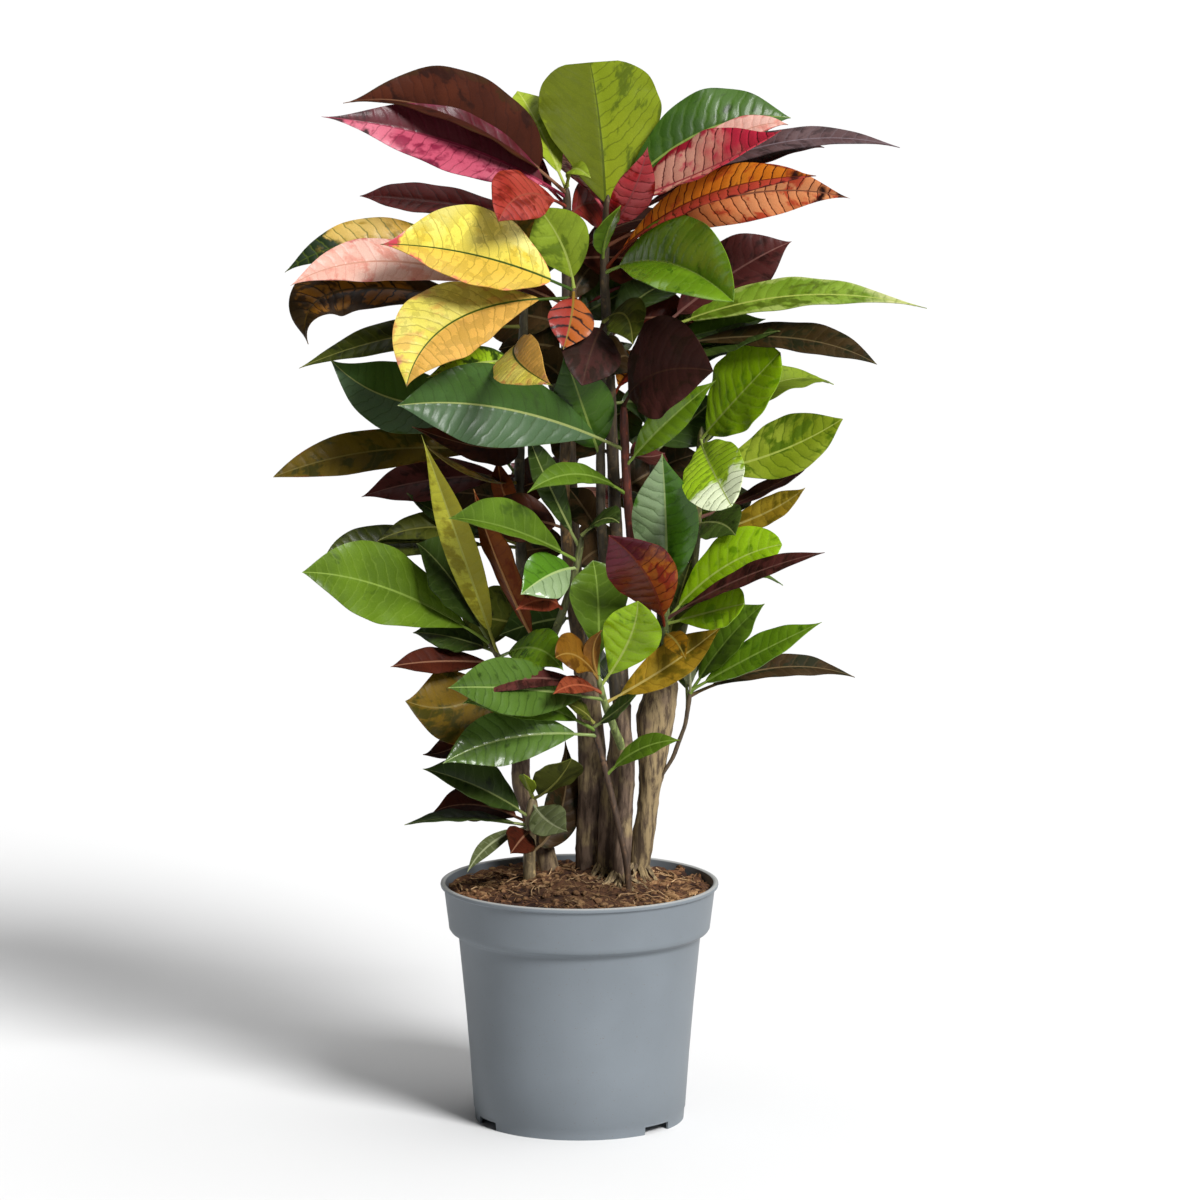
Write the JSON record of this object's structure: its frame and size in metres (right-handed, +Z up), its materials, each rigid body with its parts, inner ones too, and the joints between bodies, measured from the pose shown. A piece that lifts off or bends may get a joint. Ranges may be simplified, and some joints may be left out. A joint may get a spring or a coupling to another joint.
{
  "type": "potted croton",
  "caption": "Bushy potted croton: woody trunks in a round tapered nursery pot of soil, with leafy stems whose blades run from dark green to yellow, orange and crimson.",
  "frame": {"origin": "centre of the pot's foot, on the surface that the pot stands on", "axes": "+Z up along the plant's height, -Y towards the viewer, +X to the viewer's right"},
  "size_m": [0.486, 0.3695, 0.7966],
  "materials": {
    "pot_plastic": "smooth moulded grey polypropylene, soft sheen",
    "soil": "loose reddish-brown coir and peat with pale fibres, matt",
    "bark": "grey-tan cracked bark, matt",
    "leaf_crimson": "waxy leathery blade, maroon to crimson, satin gloss",
    "leaf_rose": "waxy leathery blade, pink to orange with dark veins, satin gloss",
    "leaf_yellow": "waxy leathery blade, yellow with green midrib and pink margin, satin gloss",
    "leaf_olive": "waxy leathery blade, olive to brown, satin gloss",
    "leaf_dark_green": "waxy leathery blade, dark green with a pale midrib, satin gloss",
    "leaf_lime": "waxy leathery blade, lime green, satin gloss",
    "leaf_green": "waxy leathery blade, mid green, satin gloss"
  },
  "bodies": {
    "root": {"pot": "pot_plastic", "soil": "soil", "trunk_left": "bark", "trunk_centre_left": "bark", "trunk_centre": "bark", "trunk_front": "bark", "trunk_right": "bark", "top_left_leaves": "leaf_crimson", "top_right_leaves": "leaf_rose", "yellow_head_leaves": "leaf_yellow", "upper_right_leaves": "leaf_olive", "mid_right_leaves": "leaf_dark_green", "centre_leaves": "leaf_dark_green", "right_leaves": "leaf_lime", "right_low_leaves": "leaf_green", "left_mid_leaves": "leaf_dark_green", "left_leaves": "leaf_green", "upper_left_leaves": "leaf_olive", "low_centre_leaves": "leaf_lime", "low_front_leaves": "leaf_green", "low_left_leaves": "leaf_green", "low_right_leaves": "leaf_dark_green"}
  },
  "joints": []
}
